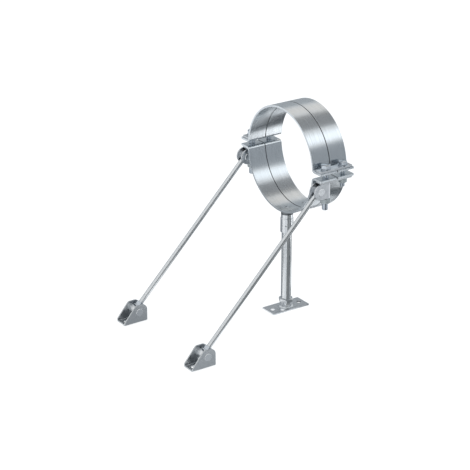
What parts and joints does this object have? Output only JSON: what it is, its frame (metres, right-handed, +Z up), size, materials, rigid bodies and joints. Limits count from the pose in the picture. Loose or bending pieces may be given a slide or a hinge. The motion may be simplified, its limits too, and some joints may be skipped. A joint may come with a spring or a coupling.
{
  "type": "fixed point pipe clamp",
  "caption": "Two-band steel pipe clamp on a threaded post with base plate, stayed lengthwise by slanting threaded struts on hinged floor brackets.",
  "frame": {"origin": "centre of the base plate's underside, below the axis of the threaded post", "axes": "+Z up along the post; Y along the pipe, the struts lead towards -Y; +X to the right, across the pipe"},
  "size_m": [0.277, 0.381, 0.434],
  "materials": {
    "band_strip": "satin",
    "fasteners": "satin",
    "threaded_steel": "satin",
    "turned_steel": "satin",
    "weld_beads": "satin",
    "folded_sheet": "satin"
  },
  "bodies": {
    "clamp": {"front_upper_band": "band_strip", "front_lower_band": "band_strip", "rear_upper_band": "band_strip", "rear_lower_band": "band_strip", "upper_bridge_plates": "band_strip", "lower_bridge_plates": "band_strip", "front_clamp_bolts": "fasteners", "front_clamp_washers": "fasteners", "front_clamp_nuts": "fasteners", "rear_clamp_bolts": "fasteners", "rear_clamp_washers": "fasteners", "rear_clamp_nuts": "fasteners", "left_hinge_strap": "folded_sheet", "right_hinge_strap": "folded_sheet", "pipe_boss": "turned_steel", "boss_weld": "weld_beads", "coupling": "turned_steel", "threaded_tube": "threaded_steel", "lock_nut": "fasteners", "base_socket": "turned_steel", "socket_weld": "weld_beads", "base_plate": "folded_sheet"},
    "left_strut": {"left_upper_barrel": "turned_steel", "left_strut_rod": "threaded_steel", "left_strut_washer": "fasteners", "left_strut_nut": "fasteners", "left_lower_barrel": "turned_steel"},
    "right_strut": {"right_upper_barrel": "turned_steel", "right_strut_rod": "threaded_steel", "right_strut_washer": "fasteners", "right_strut_nut": "fasteners", "right_lower_barrel": "turned_steel"},
    "left_foot": {"left_floor_bracket": "folded_sheet"},
    "right_foot": {"right_floor_bracket": "folded_sheet"}
  },
  "joints": [
    {"name": "left_strut_swing", "type": "hinge", "parent": "clamp", "child": "left_strut", "pos_m": [-0.122, -0.016, 0.296], "axis": [1, 0, 0], "range_deg": [-105, 45]},
    {"name": "right_strut_swing", "type": "hinge", "parent": "clamp", "child": "right_strut", "pos_m": [0.122, -0.016, 0.296], "axis": [1, 0, 0], "range_deg": [-105, 45]},
    {"name": "left_foot_swing", "type": "hinge", "parent": "left_strut", "child": "left_foot", "pos_m": [-0.122, -0.285, 0.0223], "axis": [1, 0, 0], "range_deg": [-145, 70]},
    {"name": "right_foot_swing", "type": "hinge", "parent": "right_strut", "child": "right_foot", "pos_m": [0.122, -0.285, 0.0223], "axis": [1, 0, 0], "range_deg": [-145, 70]}
  ]
}
